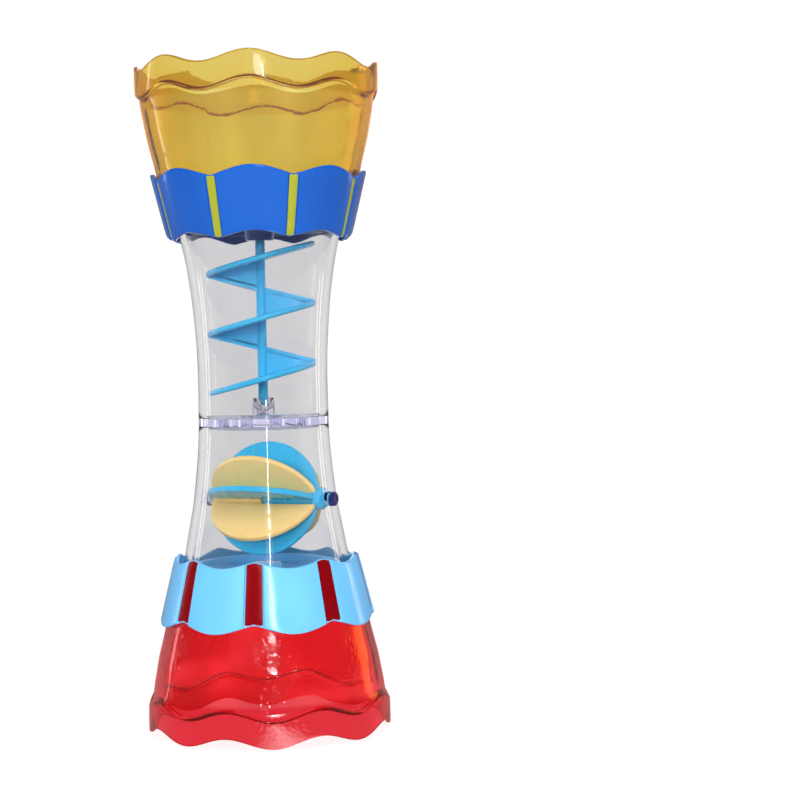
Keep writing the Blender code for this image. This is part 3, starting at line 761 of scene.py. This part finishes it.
def paper_material():
    """White paper, dim in reflections except for a patch at the foot."""
    mat = bpy.data.materials.new("white_paper")
    nodes = Nodes(mat)
    position = nodes.add("ShaderNodeNewGeometry").outputs["Position"]
    aside = nodes.maths("DOT_PRODUCT", position, rightwards, kind="ShaderNodeVectorMath")
    off_line = nodes.maths("ABSOLUTE", nodes.maths("SUBTRACT", aside, 0.007))
    foot = nodes.span(off_line, low=6.5, high=0.0, start=0.0, end=0.014)
    near = nodes.darker_in_front(position, start=0.10, end=0.16, full=1.0, dim=0.0)
    patch = nodes.maths("MULTIPLY_ADD", foot, near, 0.12)
    mirrored = nodes.darker_in_front(position, start=0.04, end=0.15, full=0.88, dim=0.12)
    nodes.shade(Base_Color=(0.15, 0.15, 0.15, 1), Roughness=0.9, Specular_IOR_Level=0.1,
                Emission_Color=(1, 1, 1, 1),
                Emission_Strength=nodes.by_ray(seen=0.88, plain=0.88, glossy=patch,
                                               mirrored=mirrored, clear_view=0.88))
    return mat


def scrim_material():
    """White straight through clear plastic, and nothing at all otherwise."""
    mat = bpy.data.materials.new("scrim")
    nodes = Nodes(mat)
    clear_air = nodes.add("ShaderNodeBsdfTransparent").outputs[0]
    white = nodes.add("ShaderNodeEmission").outputs[0]
    factor = nodes.by_ray(seen=0.0, plain=0.0, glossy=0.0, mirrored=0.0, clear_view=1.0)
    nodes.surface(nodes.mix_shaders(factor, clear_air, white))
    return mat


def add_quad(solid, corners):
    solid.faces.new([solid.verts.new(place(*corner)) for corner in corners])


def backdrop():
    """A sweep: floor in front, curving up into a wall behind."""
    half_width, bend, floor_z = 1.6, 0.3, -0.0004
    line = [(1.1, floor_z), (0.3, floor_z), (-0.35, floor_z)]      # near, height
    line += [(-0.35 - bend * math.sin(angle), bend - bend * math.cos(angle) + floor_z)
             for angle in np.radians(np.linspace(6, 90, 15))]
    line += [(-0.65, 1.6)]
    solid = bmesh.new()
    for start, end in zip(line, line[1:]):
        add_quad(solid, [(-half_width, *start), (half_width, *start),
                         (half_width, *end), (-half_width, *end)])
    bmesh.ops.remove_doubles(solid, verts=solid.verts, dist=1e-5)
    return solid


def scrim():
    """An upright sheet between the lamps and the object."""
    solid = bmesh.new()
    add_quad(solid, [(-0.6, 0.85, 0.0), (0.6, 0.85, 0.0), (0.6, 0.85, 1.4), (-0.6, 0.85, 1.4)])
    return solid


stage_mesh("backdrop", backdrop(), paper_material())
stage_mesh("scrim", scrim(), scrim_material())


# --------------------------------------------------------------------- lights
def hang(data, spot, aim, colour, only=None, fill=False):
    """Places a light and aims it. spot is (side, near, height); only lists
    what it lights; a fill light is kept out of reflections."""
    data.color = colour
    obj = new_object(data.name, data)
    obj.location = place(*spot)
    obj.rotation_euler = (Vector(aim) - obj.location).to_track_quat("-Z", "Y").to_euler()
    obj.visible_camera = False
    if only:
        receivers = bpy.data.collections.new(data.name + "_on")
        for receiver in only:
            receivers.objects.link(receiver)
        obj.light_linking.receiver_collection = receivers
    if fill:
        obj.visible_glossy = False
        obj.visible_transmission = False


def lamp(name, spot, size, power, aim=(0, 0, 0.1), colour=(1, 1, 1), shape="RECTANGLE",
         **options):
    """An area light; size is its width and height."""
    data = bpy.data.lights.new(name, "AREA")
    data.shape = shape
    data.size, data.size_y = size
    data.energy = power
    hang(data, spot, aim, colour, **options)


def glow(name, spot, size, power, only, **options):
    """An elliptical lamp that lights only some pieces."""
    lamp(name, spot, size, power, shape="ELLIPSE", only=only, **options)


def narrow(name, spot, cone, power, aim, colour):
    """A soft fill spot aimed at what is inside the clear tube."""
    data = bpy.data.lights.new(name, "SPOT")
    data.energy = power
    data.spot_size, data.spot_blend = math.radians(cone), 0.35
    data.shadow_soft_size = 0.09
    hang(data, spot, aim, colour, fill=True)


def made_of(mat):
    return [obj for obj in shapes if mat.name in obj.data.materials]


shapes = [obj for obj in bpy.context.scene.objects if obj.type == "MESH"]
not_cups = [obj for obj in shapes if obj not in (upper_cup, lower_cup)]
not_lower_cup = [obj for obj in shapes if obj is not lower_cup]

lamp("side_left", (-0.85, -0.45, 0.25), size=(0.07, 0.7), power=0.45)
lamp("side_right", (0.85, -0.45, 0.25), size=(0.07, 0.7), power=0.55,
     colour=(1.0, 0.86, 0.70), only=not_cups)
lamp("strip_low", (0.075, 0.95, 0.21), size=(0.022, 0.22), power=0.40, only=not_lower_cup)
lamp("strip_high", (0.078, 0.90, 0.70), size=(0.05, 0.76), power=2.4, only=not_cups)
lamp("soft_panel", (0.07, 0.97, 0.34), size=(0.18, 0.22), power=0.12)
# glints on the cups, the floor's light on the amber cup's ledge, and the skirt's glint
glow("rim_glow", (0.06, 2.00, 0.42), size=(0.34, 0.52), power=4.6, only=[upper_cup])
glow("rim_halo_glow", (0.06, 2.00, 0.40), size=(0.80, 0.90), power=1.4, only=[upper_cup])
glow("core_glow", (0.075, 0.95, 0.235), size=(0.09, 0.03), power=0.36, only=[lower_cup])
glow("foot_glow", (0.14, 2.00, 0.55), size=(0.26, 0.15), power=2.2, only=[lower_cup])
glow("ledge_glow", (0.0, 0.075, 0.03), size=(0.16, 0.05), power=0.28, only=[upper_cup],
     aim=towards * 0.06 + up)
glow("skirt_glow", (0.125, 0.95, 0.25), size=(0.07, 0.30), power=0.55, only=made_of(PALE))
# warm light from the right, as off an orange neighbour, and a paler one opposite
lamp("warm_high", (0.85, -0.40, 0.25), size=(0.28, 0.7), power=1.0,
     colour=(1.0, 0.40, 0.06), only=[upper_cup])
lamp("warm_low", (0.85, -0.40, 0.25), size=(0.28, 0.7), power=2.6,
     colour=(1.0, 0.30, 0.04), only=[lower_cup])
lamp("pale_left", (-0.85, -0.40, 0.25), size=(0.24, 0.7), power=0.25,
     colour=(1.0, 0.90, 0.62), only=[upper_cup])
lamp("under_fill", (0.0, 0.35, -0.02), size=(0.30, 0.10), power=0.25, aim=(0, 0, 0.15),
     colour=(0.95, 0.75, 1.0), only=made_of(BLUE), fill=True)
lamp("front_high", (0.05, 0.70, 0.75), size=(0.7, 0.4), power=4.8, fill=True)
lamp("front_left", (-0.55, 0.75, 0.35), size=(0.25, 0.4), power=3.2, fill=True)
lamp("front_right", (0.60, 0.70, 0.30), size=(0.25, 0.4), power=2.2, fill=True)
narrow("tube_light", (-0.28, 1.0, 0.20), cone=5.6, power=45.0, aim=MIDDLE,
       colour=(1.0, 0.93, 0.86))

# ---------------------------------------------------------------------- world
scene = bpy.context.scene
scene.world = bpy.data.worlds.new("studio")
sky = Nodes(scene.world)
mirrored_sky = sky.darker_in_front(sky.coord("Generated"), start=0.2, end=0.7,
                                   full=0.9, dim=0.08)
sky.put(sky.tree.nodes["Background"], Color=(1, 1, 1, 1),
        Strength=sky.by_ray(seen=1.03, plain=0.28, glossy=0.08, mirrored=mirrored_sky,
                            clear_view=1.0))

# --------------------------------------------------------------------- camera
DISTANCE, EYE_Z, ROLL = 0.6208, 0.1202, math.radians(1.27)
# where the object's middle lies in the camera's own axes: left of centre
MIDDLE_SEEN = Vector((-0.06835, 0.0014, -1)).normalized()
camera = new_object("camera", bpy.data.cameras.new("camera"))
camera.data.sensor_width = 36.0
camera.data.lens = 90.0
camera.data.clip_start, camera.data.clip_end = 0.05, 20
eye = place(0.0, DISTANCE, EYE_Z)
aim = (MIDDLE - eye).normalized()
across = aim.cross(up).normalized()
look = Matrix((across, across.cross(aim), -aim)).transposed()     # straight at the middle
look = look @ Matrix.Rotation(-ROLL, 3, "Z")
turn = Vector((0, 0, -1)).rotation_difference(MIDDLE_SEEN).to_matrix()
look = look @ turn.inverted()
camera.matrix_world = Matrix.Translation(eye) @ look.to_4x4()
scene.camera = camera
scene.view_settings.view_transform = "Standard"
scene.view_settings.look = "None"
